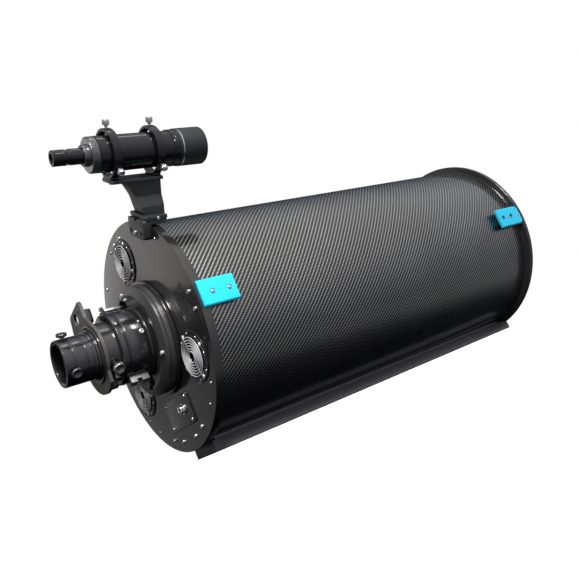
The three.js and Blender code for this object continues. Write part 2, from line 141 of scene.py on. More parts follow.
def soften(points, radius, steps=3):
    """Rounds the corners of a closed flat outline."""
    count = len(points)
    out = []
    for i, here in enumerate(points):
        p = Vector(here)
        a = Vector(points[i - 1]) - p
        b = Vector(points[(i + 1) % count]) - p
        reach = min(radius, a.length * 0.45, b.length * 0.45)
        turn = a.angle(b, math.pi)
        if turn > math.radians(170) or reach < 1e-3:
            out.append(here)
            continue
        start = p + a.normalized() * reach
        end = p + b.normalized() * reach
        for k in range(steps + 1):
            t = k / steps
            q = start * (1 - t) ** 2 + p * 2 * t * (1 - t) + end * t ** 2
            out.append((q.x, q.y))
    return out


def shape_factor(kind, theta):
    if kind == "hex":
        return math.cos(math.pi / 6) / math.cos((theta % (math.pi / 3)) - math.pi / 6)
    if kind and kind.startswith("knurl"):
        teeth = int(kind[5:])
        phase = (theta * teeth / (2 * math.pi)) % 1
        return 1 - 0.07 * (1 if 0.25 < phase < 0.8 else 0)
    return 1.0


def lathe(bm, profile, segments, closed=True, place=Matrix()):
    """Turns (x, radius[, kind]) points about X. An open profile gets flat ends."""
    rings = []
    for entry in profile:
        x, radius = entry[0], entry[1]
        kind = entry[2] if len(entry) > 2 else None
        ring = []
        for i in range(segments):
            theta = 2 * math.pi * i / segments
            r = radius * shape_factor(kind, theta)
            ring.append(bm.verts.new(place @ Vector((x, r * math.cos(theta), r * math.sin(theta)))))
        rings.append(ring)
    pairs = list(zip(rings, rings[1:]))
    if closed:
        pairs.append((rings[-1], rings[0]))
    for first, second in pairs:
        for i in range(segments):
            j = (i + 1) % segments
            bm.faces.new((first[i], first[j], second[j], second[i]))
    if not closed:
        bm.faces.new(rings[0])
        bm.faces.new(list(reversed(rings[-1])))
    return bm


def turned(profile, segments=96, rounding=0.6):
    """Turns a closed (x, radius) profile about X, with rounded corners."""
    return lathe(bmesh.new(), soften(profile, rounding), segments)


def slab(outline, x0, x1, rounding=0.8, bevel=0.6):
    """Extrudes a (y, z) outline along X, with bevelled rims."""
    bm = bmesh.new()
    points = soften(outline, rounding) if rounding else outline
    made = [[bm.verts.new((x, p[0], p[1])) for p in points] for x in (x0, x1)]
    caps = [bm.faces.new(made[0]), bm.faces.new(list(reversed(made[1])))]
    count = len(points)
    for i in range(count):
        j = (i + 1) % count
        bm.faces.new((made[0][i], made[1][i], made[1][j], made[0][j]))
    if bevel:
        rims = list({edge for cap in caps for edge in cap.edges})
        bmesh.ops.recalc_face_normals(bm, faces=bm.faces)
        bmesh.ops.bevel(bm, geom=rims, offset=bevel, segments=2, profile=0.5, affect="EDGES")
    return bm


def rectangle(y0, y1, z0, z1):
    return [(y0, z0), (y1, z0), (y1, z1), (y0, z1)]


def block(x0, x1, y0, y1, z0, z1, rounding=0.8, bevel=0.6):
    return slab(rectangle(y0, y1, z0, z1), x0, x1, rounding, bevel)


def arc(radius, start, end, steps):
    """Points about the axis from start to end degrees, measured from +y towards +z."""
    out = []
    for k in range(steps + 1):
        a = math.radians(start + (end - start) * k / steps)
        out.append((radius * math.cos(a), radius * math.sin(a)))
    return out


def rod(x0, x1, radius, segments=48, place=Matrix(), bm=None):
    bm = bm or bmesh.new()
    return lathe(bm, [(x0, radius), (x1, radius)], segments, False, place)


def boolean(bm, cutter, operation="DIFFERENCE"):
    """Cuts or joins two bmeshes and returns the result."""
    made = []
    for source in (bm, cutter):
        made.append(bpy.data.objects.new("work", finish_mesh(source, "work", 32, 1e-4)))
        bpy.context.scene.collection.objects.link(made[-1])
    target, tool = made
    modifier = target.modifiers.new("cut", "BOOLEAN")
    modifier.operation = operation
    modifier.solver = "MANIFOLD"
    modifier.object = tool
    graph = bpy.context.evaluated_depsgraph_get()
    result = bpy.data.meshes.new_from_object(target.evaluated_get(graph))
    out = bmesh.new()
    out.from_mesh(result)
    for obj in made:
        mesh = obj.data
        bpy.data.objects.remove(obj)
        bpy.data.meshes.remove(mesh)
    bpy.data.meshes.remove(result)
    bmesh.ops.dissolve_degenerate(out, edges=out.edges, dist=1e-4)
    return out


def append(bm, other, place=Matrix()):
    """Adds a copy of another bmesh, without freeing it."""
    mesh = bpy.data.meshes.new("part")
    other.to_mesh(mesh)
    mesh.transform(place)
    bm.from_mesh(mesh)
    bpy.data.meshes.remove(mesh)
    return bm


def torus(bm, radius, wire, x, segments=72, sides=10, place=Matrix()):
    profile = []
    for k in range(sides):
        a = 2 * math.pi * k / sides
        profile.append((x + wire * math.cos(a), radius + wire * math.sin(a)))
    return lathe(bm, profile, segments, True, place)


# ---------------------------------------------------------------- fasteners, about +X outward


def cap_screw(head, height, bm=None, place=Matrix()):
    """A socket head: chamfered rim and a hexagon recess."""
    bm = bm or bmesh.new()
    key = head * 0.52
    profile = [
        (-1.5, head * 0.98), (height * 0.78, head), (height * 0.93, head * 0.95), (height, head * 0.84),
        (height, key * 1.12, "hex"), (height * 0.9, key, "hex"), (height * 0.35, key, "hex"),
        (height * 0.25, key * 0.4),
    ]
    return lathe(bm, profile, 24, False, place)


def button_screw(head, height, bm=None, place=Matrix()):
    bm = bm or bmesh.new()
    key = head * 0.45
    profile = [
        (-1.0, head * 0.97), (0.0, head), (height * 0.5, head * 0.93), (height * 0.85, head * 0.72),
        (height, head * 0.55), (height, key, "hex"), (height * 0.3, key, "hex"),
        (height * 0.2, key * 0.4),
    ]
    return lathe(bm, profile, 24, False, place)


def facing_rear(x, y, z):
    """A place whose +X points to the rear (-X)."""
    return Matrix.Translation((x, y, z)) @ Matrix.Rotation(math.pi, 4, "Z")


OUTWARD = Matrix.Rotation(-math.pi / 2, 4, "Y")    # +X to +Z


def on_radius(x, degrees, radius):
    """A place on a circle round the axis whose +X points outward."""
    return radial(degrees) @ Matrix.Translation((x, 0, radius)) @ OUTWARD


# ---------------------------------------------------------------- materials


def node(tree, kind, inputs=None, **settings):
    made = tree.nodes.new(kind)
    for key, value in settings.items():
        setattr(made, key, value)
    for key, value in (inputs or {}).items():
        if isinstance(value, bpy.types.NodeSocket):
            tree.links.new(value, made.inputs[key])
        else:
            made.inputs[key].default_value = value
    return made


def calc(tree, operation, a, b=None, c=None):
    inputs = {0: a}
    if b is not None:
        inputs[1] = b
    if c is not None:
        inputs[2] = c
    return node(tree, "ShaderNodeMath", inputs, operation=operation).outputs[0]


def blank(name):
    material = bpy.data.materials.new(name)
    material.use_nodes = True
    tree = material.node_tree
    tree.nodes.clear()
    shader = tree.nodes.new("ShaderNodeBsdfPrincipled")
    output = tree.nodes.new("ShaderNodeOutputMaterial")
    tree.links.new(shader.outputs[0], output.inputs[0])
    return material, tree, shader


def object_axes(tree):
    coords = node(tree, "ShaderNodeTexCoord").outputs["Object"]
    split = node(tree, "ShaderNodeSeparateXYZ", {0: coords})
    return coords, split.outputs[0], split.outputs[1], split.outputs[2]


def tone(tree, factor, dark, light):
    mix = node(tree, "ShaderNodeMix", {0: factor}, data_type="RGBA")
    mix.inputs["A"].default_value = (*dark, 1)
    mix.inputs["B"].default_value = (*light, 1)
    return mix.outputs["Result"]


def span(tree, value, low, high):
    return node(tree, "ShaderNodeMapRange", {0: value, 3: low, 4: high}).outputs[0]


def bump(tree, shader, height, strength, distance):
    made = node(tree, "ShaderNodeBump", {"Height": height, "Strength": strength, "Distance": distance})
    tree.links.new(made.outputs[0], shader.inputs["Normal"])


def set_inputs(shader, **values):
    names = {
        "metallic": "Metallic", "roughness": "Roughness", "ior": "IOR", "coat": "Coat Weight",
        "coat_roughness": "Coat Roughness", "specular": "Specular IOR Level",
        "transmission": "Transmission Weight",
    }
    for key, value in values.items():
        shader.inputs[names[key]].default_value = value


def noise(tree, coords, scale, detail):
    inputs = {"Vector": coords, "Scale": scale, "Detail": detail, "Roughness": 0.55}
    return node(tree, "ShaderNodeTexNoise", inputs).outputs[0]


def satin(name, dark, light, rough, metallic=0.0, grain=900, depth=0.00002, coat=0.0, patch=14,
          specular=0.5):
    """Anodised or painted metal: slow colour drift, fine grain and uneven roughness."""
    material, tree, shader = blank(name)
    coords, _, _, _ = object_axes(tree)
    drift = noise(tree, coords, patch, 4)
    fine = noise(tree, coords, grain, 2)
    tree.links.new(tone(tree, span(tree, drift, 0, 1), dark, light), shader.inputs["Base Color"])
    tree.links.new(span(tree, drift, rough - 0.05, rough + 0.05), shader.inputs["Roughness"])
    set_inputs(shader, metallic=metallic, coat=coat, coat_roughness=0.12, specular=specular)
    bump(tree, shader, fine, 0.25, depth)
    return material


def lathed(name, dark, light, rough, metallic=0.0, centre=None, pitch=0.0011, depth=0.00003,
           coat=0.0, specular=0.5):
    """Turned metal: fine tool rings round an axis along X, seen on flats and on cylinders."""
    material, tree, shader = blank(name)
    coords, x, y, z = object_axes(tree)
    cy, cz = centre or (0.0, AXIS_Z)
    dy = calc(tree, "SUBTRACT", y, cy)
    dz = calc(tree, "SUBTRACT", z, cz)
    square = calc(tree, "ADD", calc(tree, "MULTIPLY", dy, dy), calc(tree, "MULTIPLY", dz, dz))
    radius = calc(tree, "SQRT", square)
    along = calc(tree, "ADD", radius, x)
    wave = calc(tree, "SINE", calc(tree, "MULTIPLY", along, 2 * math.pi / pitch))
    drift = noise(tree, coords, 18, 4)
    mixed = calc(tree, "MULTIPLY_ADD", wave, 0.5, noise(tree, coords, 160, 2))
    tree.links.new(tone(tree, drift, dark, light), shader.inputs["Base Color"])
    tree.links.new(span(tree, drift, rough - 0.04, rough + 0.05), shader.inputs["Roughness"])
    set_inputs(shader, metallic=metallic, coat=coat, coat_roughness=0.08, specular=specular)
    bump(tree, shader, mixed, 0.12, depth)
    return material


TOWS_ROUND = 588                  # tows round the tube, a multiple of four so that the weave closes
TOW = 2 * math.pi * TUBE_R / 1000 / TOWS_ROUND


def twill():
    """Two-by-two twill carbon under a clear coat. Its base colour carries painted glints: the crowns of the
    warp floats are painted near-white and the weft floats near-black.
    """
    material, tree, shader = blank("carbon_twill")
    coords, x, y, z = object_axes(tree)
    height = calc(tree, "SUBTRACT", z, AXIS_Z)
    angle = calc(tree, "ARCTAN2", height, calc(tree, "MULTIPLY", y, -1.0))
    u = calc(tree, "DIVIDE", x, TOW)
    v = calc(tree, "MULTIPLY", angle, TOWS_ROUND / (2 * math.pi))
    step = calc(tree, "SUBTRACT", calc(tree, "FLOOR", u), calc(tree, "FLOOR", v))
    warp = calc(tree, "LESS_THAN", calc(tree, "FLOORED_MODULO", calc(tree, "ADD", step, 0.5), 4.0), 2.0)
    across_u = calc(tree, "SINE", calc(tree, "MULTIPLY", calc(tree, "FRACT", u), math.pi))
    across_v = calc(tree, "SINE", calc(tree, "MULTIPLY", calc(tree, "FRACT", v), math.pi))
    crown = node(tree, "ShaderNodeMix", {0: warp, 2: across_u, 3: across_v}, data_type="FLOAT").outputs[0]
    float_u = calc(tree, "FLOORED_MODULO", calc(tree, "SUBTRACT", u, calc(tree, "FLOOR", v)), 4.0)
    arch = calc(tree, "SINE", calc(tree, "MULTIPLY", float_u, math.pi / 2))
    slow = noise(tree, coords, 9, 3)
    fall = calc(tree, "POWER", calc(tree, "MAXIMUM", arch, 0.0), 1.3)
    # Painted glints: the crown of each warp float is painted bright and the weft floats almost black, in
    # place of sun glints on the fibres.
    warp_painted_glint = calc(tree, "MULTIPLY", calc(tree, "POWER", across_v, 2.2), fall)
    weft_painted_glint = calc(tree, "MULTIPLY", calc(tree, "POWER", across_u, 2.0), 0.05)
    glint = node(tree, "ShaderNodeMix", {0: warp, 2: weft_painted_glint, 3: warp_painted_glint}, data_type="FLOAT").outputs[0]
    level = calc(tree, "MULTIPLY", glint, span(tree, slow, 0.75, 1.15))
    # The painted glint level runs the base colour from near-black to near-white.
    colour = tone(tree, level, (0.004, 0.0045, 0.006), (0.95, 0.94, 0.90))
    tree.links.new(colour, shader.inputs["Base Color"])
    tree.links.new(span(tree, slow, 0.34, 0.40), shader.inputs["Roughness"])
    set_inputs(shader, metallic=1.0, coat=1.0, coat_roughness=0.015)
    bump(tree, shader, crown, 0.35, 0.00012)
    return material


def bright(name, light, dark, rough):
    """Bare turned metal."""
    return lathed(name, dark, light, rough, metallic=1.0, pitch=0.0006, depth=0.00001)


def glass(name, tint):
    """Coated glass with a slightly uneven tint."""
    material, tree, shader = blank(name)
    coords, _, _, _ = object_axes(tree)
    drift = noise(tree, coords, 30, 2)
    brighter = tuple(min(1, c * 1.15) for c in tint)
    tree.links.new(tone(tree, drift, tint, brighter), shader.inputs["Base Color"])
    set_inputs(shader, roughness=0.02, transmission=0.75, ior=1.5, coat=1.0, coat_roughness=0.01)
    return material


finder_y, finder_z = around(FINDER_ANGLE, FINDER_RADIUS)
finder_centre = (finder_y / 1000, AXIS_Z + finder_z / 1000)

MATERIALS = {
    "carbon": twill(),
    "plate": lathed("plate_anodised", (0.010, 0.010, 0.010), (0.017, 0.016, 0.016), 0.24, pitch=0.0016,
                    coat=0.8, specular=0.6),
    "ring": lathed("ring_anodised", (0.012, 0.012, 0.014), (0.022, 0.022, 0.024), 0.22, coat=0.15,
                   specular=0.45),
    "focuser": lathed("focuser_anodised", (0.008, 0.008, 0.009), (0.015, 0.015, 0.016), 0.17, coat=0.45,
                      specular=0.8),
    # Rougher satin black for the flange. Its base colour is about three times lighter than the focuser's and
    # stands in for its sheen: painted sheen.
    "flange": lathed("flange_anodised_painted_sheen", (0.028, 0.027, 0.028), (0.044, 0.043, 0.044), 0.34,
                     specular=0.9),
    "adapter": lathed("adapter_anodised", (0.009, 0.009, 0.011), (0.016, 0.016, 0.019), 0.17, coat=0.35,
                      specular=0.8),
    "inner": satin("inner_matte_black", (0.008, 0.008, 0.008), (0.016, 0.016, 0.017), 0.6),
    "rail": satin("rail_anodised", (0.046, 0.046, 0.052), (0.062, 0.062, 0.070), 0.42, patch=30,
                  grain=1400, depth=0.00003),
    "teal": satin("teal_anodised", (0.010, 0.60, 0.80), (0.018, 0.70, 0.90), 0.42, grain=1600,
                  depth=0.00002),
    # A darker copy of the same teal for the front brackets: painted shade.
    "teal_painted_shade": satin("teal_anodised_painted_shade", (0.008, 0.42, 0.66), (0.014, 0.50, 0.76), 0.42, grain=1600,
                        depth=0.00002),
    "bronze": satin("clamp_plate_metal", (0.10, 0.094, 0.086), (0.16, 0.15, 0.138), 0.38, metallic=0.7,
                    patch=40),
    "steel": bright("bright_steel", (0.82, 0.82, 0.84), (0.62, 0.62, 0.65), 0.22),
    "chrome": lathed("chrome_wire", (0.84, 0.84, 0.86), (0.94, 0.94, 0.95), 0.3, metallic=0.45, pitch=0.0006,
                     depth=0.00001),
    "milled": satin("milled_aluminium", (0.19, 0.19, 0.19), (0.25, 0.25, 0.25), 0.55, metallic=0.7, patch=40),
    "worn_steel": bright("worn_steel", (0.50, 0.49, 0.49), (0.36, 0.35, 0.35), 0.34),
    "dark_screw": bright("dark_screw", (0.22, 0.22, 0.23), (0.12, 0.12, 0.13), 0.3),
    "finder": lathed("finder_black", (0.006, 0.006, 0.007), (0.011, 0.011, 0.013), 0.16,
                     centre=finder_centre, coat=0.1, specular=0.4),
    # Satin black for the eyepiece holder. Its base colour is about five times lighter than the finder's and
    # stands in for the reflection on its face: painted sheen.
    "finder_satin_painted_sheen": lathed("finder_black_painted_sheen", (0.036, 0.036, 0.039), (0.056, 0.056, 0.060), 0.3,
                           centre=finder_centre, coat=0.4, specular=0.9),
    # Grey metal for a thin ring over the eyepiece holder's rear face, standing in for the reflection seen
    # there: painted reflection.
    "finder_painted_reflection": lathed("finder_ring_painted_reflection", (0.30, 0.30, 0.31), (0.45, 0.45, 0.46), 0.3,
                            metallic=1.0, centre=finder_centre),
    "mount": satin("finder_mount_black", (0.020, 0.021, 0.025), (0.034, 0.035, 0.041), 0.36, patch=25,
                   coat=0.1),
    "dew": satin("dew_shield_crinkle", (0.012, 0.013, 0.015), (0.022, 0.023, 0.027), 0.5, grain=520,
                 depth=0.0002, patch=60, specular=0.35),
    "plastic": satin("fan_plastic", (0.006, 0.006, 0.007), (0.012, 0.012, 0.013), 0.55, grain=600,
                     specular=0.3),
    "knob": satin("knob_black", (0.010, 0.010, 0.011), (0.022, 0.022, 0.024), 0.35, grain=500),
    "mirror": lathed("aluminised_mirror", (0.86, 0.87, 0.88), (0.90, 0.91, 0.92), 0.07, metallic=1.0,
                     pitch=0.02, depth=0.000001),
    "lens": glass("coated_lens", (0.55, 0.72, 0.70)),
    "eye_lens": glass("eyepiece_lens", (0.35, 0.30, 0.50)),
}


def make(name, bm, look, body=WALL, nodes=(), place=Matrix(), sharp=32):
    return piece(name, bm, MATERIALS[look], body, nodes, place, sharp)


# ---------------------------------------------------------------- main tube, plates and rings


def build_tube():
    wall = [(14.3, TUBE_BORE), (14.3, TUBE_R), (774.7, TUBE_R), (774.7, TUBE_BORE)]
    make("tube_shell", turned(wall, 320, 0.3), "carbon", nodes=["carbon_tube"])

    spigot = TUBE_BORE - 0.3
    plate = turned([
        (0, 64), (0, PLATE_R), (14, PLATE_R), (14, spigot), (30, spigot), (30, 176), (14, 176), (14, 64),
    ], 240, 1.0)
    for degrees in FAN_ANGLES:
        y, z = around(degrees, FAN_RADIUS)
        plate = boolean(plate, rod(-5, 40, FAN_BORE, 72, Matrix.Translation((0, y, z))))
    make("rear_plate_turned", plate, "plate", nodes=["rear_plate"])

    ring = turned([
        (760, APERTURE_R), (766, APERTURE_R + 1), (786.5, APERTURE_R + 1), (788, APERTURE_R + 2.5),
        (788, FLANGE_R), (784.6, FLANGE_R), (784.2, FLANGE_R - 0.8), (783, FLANGE_R - 0.8),
        (782.6, FLANGE_R), (778.5, FLANGE_R), (778.5, TUBE_R), (775, TUBE_R), (775, spigot), (760, spigot),
    ], 320, 0.7)
    make("front_ring_turned", ring, "ring", nodes=["front_ring"])

    screws = bmesh.new()
    for side in (0, 90, 180):
        for turn in (-4.3, 4.3):
            y, z = around(side + turn, 177)
            cap_screw(3.4, 3.0, screws, facing_rear(0, y, z))
    for turn in (-20, -8.5, 8.5, 20):
        y, z = around(-90 + turn, 175)
        cap_screw(3.2, 2.8, screws, facing_rear(0, y, z))
    for degrees in (41, 103, 131, -40, -52, -128, -140, 152):
        y, z = around(degrees, 179)
        button_screw(2.5, 1.5, screws, facing_rear(0, y, z))
    make("rear_plate_screws", screws, "steel")

    front_screws = bmesh.new()
    for k in range(12):
        y, z = around(15 + 30 * k, 185)
        place = Matrix.Translation((788, y, z))
        button_screw(3.0, 1.6, front_screws, place)
    make("front_ring_screws", front_screws, "dark_screw")


# ---------------------------------------------------------------- dovetail rail


def build_rail():
    edge = 44
    outline = [
        (-RAIL_HALF, RAIL_BOTTOM), (RAIL_HALF, RAIL_BOTTOM), (RAIL_HALF, RAIL_BOTTOM + 5),
        (edge, RAIL_TOP), (-edge, RAIL_TOP), (-RAIL_HALF, RAIL_BOTTOM + 5),
    ]
    rail = slab(outline, RAIL_START, RAIL_END, 0.5, 0.6)
    ring_clearance = rod(777, 800, FLANGE_R + 0.6, 256)
    rail = boolean(rail, ring_clearance)
    corners = bmesh.new()
    for x in (RAIL_START, RAIL_END):
        for y in (-RAIL_HALF, RAIL_HALF):
            place = Matrix.Translation((x, y, 0)) @ Matrix.Rotation(math.pi / 4, 4, "Z")
            append(corners, block(-9, 9, -9, 9, RAIL_BOTTOM - 2, RAIL_TOP + 2, 0, 0), place)
    rail = boolean(rail, corners)
    holes = bmesh.new()
    for x in RAIL_SCREW_X:
        for y in (-26, 26):
            place = Matrix.Translation((x, y, RAIL_BOTTOM)) @ OUTWARD
            lathe(holes, [(-1, 5.5), (8, 5.5), (8, 3.3), (20, 3.3)], 40, False, place)
    rail = boolean(rail, holes)
    make("dovetail_rail_machined", rail, "rail", nodes=["dovetail_rail"], sharp=25)

    screws = bmesh.new()
    for x in RAIL_SCREW_X:
        for y in (-26, 26):
            place = Matrix.Translation((x, y, RAIL_BOTTOM + 4)) @ Matrix.Rotation(math.pi / 2, 4, "Y")
            cap_screw(5.0, 3.4, screws, place)
    make("rail_screws", screws, "dark_screw")


# ---------------------------------------------------------------- accessory brackets


def bracket(x0, x1, feet, sockets, chamfered):
    half = 20
    outline = [
        (-half, BRACKET_BASE), (half, BRACKET_BASE), (half, BRACKET_TOP - 2), (half - 2, BRACKET_TOP),
        (-half + 2, BRACKET_TOP), (-half, BRACKET_TOP - 2),
    ]
    body = slab(outline, x0, x1, 0.4, 0.5)
    if chamfered:
        corners = bmesh.new()
        for side in (-1, 1):
            place = Matrix.Translation((x1, side * half, 0)) @ Matrix.Rotation(math.pi / 4, 4, "Z")
            append(corners, block(-5, 5, -5, 5, BRACKET_BASE - 2, BRACKET_TOP + 2, 0, 0), place)
        body = boolean(body, corners)
    pads = bmesh.new()
    for start, end in feet:
        append(pads, block(start, end, -9, 9, TUBE_R + 0.6, BRACKET_BASE + 1.5, 0.6, 0.4))
    body = boolean(body, pads, "UNION")
    holes = bmesh.new()
    for x, radius, depth in sockets:
        place = Matrix.Translation((x, 0, BRACKET_TOP)) @ OUTWARD
        rod(-depth, 3, radius, 40, place, holes)
    return boolean(body, holes)


REAR_BRACKET = (3, 63)
FRONT_BRACKET = (707, 778.2)
REAR_SOCKETS = [(23, 4.1, 1.6), (51, 4.1, 1.6)]
FRONT_SOCKETS = [(722, 5.0, 4.4), (736, 2.9, 1.0), (748, 5.0, 4.4), (769, 3.2, 1.0)]


def build_brackets():
    for side, degrees in BRACKET_ANGLES.items():
        rear = bracket(*REAR_BRACKET, [(40, 58)], REAR_SOCKETS, False)
        make(f"rear_bracket_{side}_anodised", rear, "teal", nodes=[f"rear_bracket_{side}"],
             place=radial(degrees), sharp=22)
        front = bracket(*FRONT_BRACKET, [(714, 732), (752, 770)], FRONT_SOCKETS, True)
        # The front brackets get the darker teal copy, which is painted shade.
        make(f"front_bracket_{side}_anodised", front, "teal_painted_shade", nodes=[f"front_bracket_{side}"],
             place=radial(degrees), sharp=22)
        screws = bmesh.new()
        for x, head, lift in ((23, 3.4, -1.0), (51, 3.4, -1.0), (736, 2.4, -0.6), (769, 2.7, -0.6)):
            button_screw(head, 2.0, screws, on_radius(x, degrees, BRACKET_TOP + lift))
        make(f"bracket_screws_{side}", screws, "steel")
        liners = bmesh.new()
        for x in (722, 748):
            place = on_radius(x, degrees, BRACKET_TOP - 3.4)
            liner = [(-0.8, 4.6), (0.2, 4.6), (0.4, 2.6), (-0.4, 2.2, "hex"), (-0.4, 0.6)]
            lathe(liners, liner, 36, False, place)
        make(f"bracket_sockets_{side}", liners, "dark_screw")


# ---------------------------------------------------------------- fans


def blade_mesh(bm, turn):
    """One curved fan blade, thickened."""
    steps_r, steps_c = 7, 6
    layers = []
    for side in (-0.45, 0.45):
        grid = []
        for i in range(steps_r + 1):
            t = i / steps_r
            radius = 11 + 15 * t
            pitch = math.radians(52 - 18 * t)
            chord = 9 + 4 * t
            row = []
            for k in range(steps_c + 1):
                s = k / steps_c - 0.5
                camber = 1.4 * (1 - 4 * s * s)
                along = s * chord * math.cos(pitch) + (camber + side) * math.sin(pitch)
                deep = s * chord * math.sin(pitch) - (camber + side) * math.cos(pitch)
                angle = turn + along / radius + 0.25 * t
                row.append(bm.verts.new((22.5 + deep, radius * math.sin(angle), radius * math.cos(angle))))
            grid.append(row)
        layers.append(grid)
    low, high = layers
    for i in range(steps_r):
        for k in range(steps_c):
            bm.faces.new((low[i][k], low[i][k + 1], low[i + 1][k + 1], low[i + 1][k]))
            bm.faces.new((high[i][k], high[i + 1][k], high[i + 1][k + 1], high[i][k + 1]))
    border = [(i, 0) for i in range(steps_r + 1)] + [(steps_r, k) for k in range(1, steps_c + 1)]
    border += [(i, steps_c) for i in range(steps_r - 1, -1, -1)] + [(0, k) for k in range(steps_c - 1, 0, -1)]
    for (i, k), (m, n) in zip(border, border[1:] + border[:1]):
        bm.faces.new((low[i][k], low[m][n], high[m][n], high[i][k]))


def guard_mesh():
    """Concentric wires on four straight arms, which end in screw loops over the cover ring."""
    bm = bmesh.new()
    plane, wire = -4.6, 0.85
    for radius in (29.6, 25.4, 21.2, 17.0, 12.8, 8.6):
        torus(bm, radius, wire, plane, 72, 10)
    for k in range(4):
        turn = roll(45 + 90 * k)
        rod(7.6, 33.2, wire, 12, turn @ Matrix.Translation((plane + 1.1, 0, 0)) @ OUTWARD, bm)
        torus(bm, 2.6, wire, 0, 28, 8, turn @ Matrix.Translation((-2.9, 0, 34.6)))
    return bm


def build_fans():
    screws = bmesh.new()
    for number, degrees in enumerate(FAN_ANGLES, 1):
        place = radial(degrees) @ Matrix.Translation((0, 0, FAN_RADIUS))
        section = [(-2, FAN_BORE + 0.6), (-2, 39.6), (-1.5, 40.2), (-0.3, 40.2), (-0.3, FAN_BORE)]
        cover = turned(section, 120, 0.25)
        make(f"fan_cover_{number}_ring", cover, "ring", nodes=[f"fan_cover_{number}"], place=place)
        rotor = bmesh.new()
        hub = [(15.6, 9.6), (15.8, 10.8), (16.6, 11.6), (18, 12), (29, 12), (29.5, 11.5)]
        lathe(rotor, hub, 64, False)
        for k in range(FAN_BLADES):
            blade_mesh(rotor, 2 * math.pi * k / FAN_BLADES)
        make(f"fan_rotor_{number}_moulded", rotor, "plastic", f"fan_rotor_body_{number}",
             [f"fan_rotor_{number}"], place)
        make(f"fan_guard_{number}_wires", guard_mesh(), "chrome", nodes=[f"fan_guard_{number}"], place=place)
        for k in range(8):
            angle = math.radians(22.5 + 45 * k)
            spot = place @ Matrix.Translation((-2, 35.6 * math.sin(angle), 35.6 * math.cos(angle)))
            button_screw(1.7, 1.2, screws, spot @ Matrix.Rotation(math.pi, 4, "Z"))
        for k in range(4):
            angle = math.radians(45 + 90 * k)
            spot = place @ Matrix.Translation((-2, 34 * -math.sin(angle), 34 * math.cos(angle)))
            button_screw(2.3, 2.6, screws, spot @ Matrix.Rotation(math.pi, 4, "Z"))
    make("fan_cover_screws", screws, "steel")


# ---------------------------------------------------------------- electronics cover


def build_electronics():
    socket_place = Matrix.Translation((0, SOCKET_Y, SOCKET_Z))
    cover = slab(rectangle(-47, 47, -154, -104), -3.3, -0.3, 4, 0.6)
    cover = boolean(cover, rod(-6, 2, 7.3, 48, socket_place))
    make("electronics_panel", cover, "plate", nodes=["electronics_cover"])
    screws = bmesh.new()
    for y in (-41, 41):
        for z in (-148, -110):
            button_screw(2.6, 1.8, screws, facing_rear(-3.3, y, z))
    make("electronics_screws", screws, "steel")
    socket = turned([
        (-1, 3.9), (-1, 7.0), (-3.4, 7.0), (-3.4, 9.2), (-5.6, 9.2), (-5.6, 6.6), (-10.5, 6.6),
        (-11.5, 5.8), (-11.5, 4.5), (-4, 3.9),
    ], 64, 0.4)
    make("power_socket", socket, "steel", place=socket_place)
    insert = bmesh.new()
    lathe(insert, [(-1.2, 3.8), (-4.2, 3.8), (-4.2, 1.2), (-9.5, 1.2), (-10, 0.8)], 32, False)
    make("power_socket_insert", insert, "plastic", place=socket_place)


# ---------------------------------------------------------------- focuser


def build_focuser():
    adapter_plate = turned([
        (14, 46), (14, 63.7), (-0.3, 63.7), (-0.3, 96.2), (-6, 96.2), (-6, 46),
    ], 160, 0.9)
    make("focuser_adapter_disc", adapter_plate, "focuser", nodes=["focuser_adapter_plate"])

    flange = turned([
        (-6.3, 46), (-6.3, 91.5), (-11.6, 91.5), (-12.2, 90.4), (-14.4, 90.4), (-15, 91.5), (-20.5, 91.5),
        (-26, 78), (-26, 76), (-22, 73), (-22, 46),
    ], 160, 0.6)
    pockets = bmesh.new()
    for side in (1, -1):
        rod(-30, -12, 12, 64, Matrix.Translation((0, SHAFT_Y, side * SHAFT_Z)), pockets)
    # The flange gets the lightened black, which is painted sheen.
    make("focuser_flange_turned", boolean(flange, pockets), "flange", nodes=["focuser_flange"])

    body = turned([
        (-22.3, 40.3), (-22.3, BODY_R), (-28.4, BODY_R), (-29, 57), (-30.6, 57), (-31.2, BODY_R),
        (-62, BODY_R), (-62.8, 56.8), (-64.6, 56.8), (-65.4, BODY_R), (-74.6, BODY_R), (-76, 56.4),
        (-76, NOSE_R), (-102.4, NOSE_R), (-103.5, NOSE_R - 1.2), (-103.5, 40.3),
    ], 144, 0.5)
    make("focuser_body_turned", body, "focuser", nodes=["focuser_body"])

    tube = turned([(-106.7, 33), (-106.7, 40), (-10, 40), (-10, 37.5), (-90, 37.5), (-90, 33)], 128, 0.5)
    make("drawtube_turned", tube, "adapter", "drawtube_body", ["drawtube"])

    adapter = turned([
        (-155, 31.2), (-155, 35.9), (-154.2, ADAPTER_R), (-140.8, ADAPTER_R), (-140.4, 36.1),
        (-139.4, 36.1), (-139, ADAPTER_R), (-122, ADAPTER_R), (-121.6, 36.1), (-120.6, 36.1),
        (-120.2, ADAPTER_R), (-112, ADAPTER_R), (-112, 38.6), (-107, 38.6), (-107, 29.8), (-153.6, 29.8),
    ], 128, 0.35)
    bores = bmesh.new()
    for degrees in THUMBSCREW_ANGLES.values():
        rod(-10, 8, 2.7, 32, on_radius(ADAPTER_X, degrees, 34), bores)
    make("eyepiece_adapter_turned", boolean(adapter, bores), "adapter", "drawtube_body",
         ["eyepiece_adapter"])


def drive_plate_outline():
    """Round the nose, with a motor ear on top and a wider lobe on the far side and below."""
    outline = arc(52, 225, 150, 30)
    outline += [(-15, 58), (-12, 83), (-7, 86.5), (48, 81), (53, 77), (61, 50)]
    outline += arc(64, 18, -122, 60)
    return outline


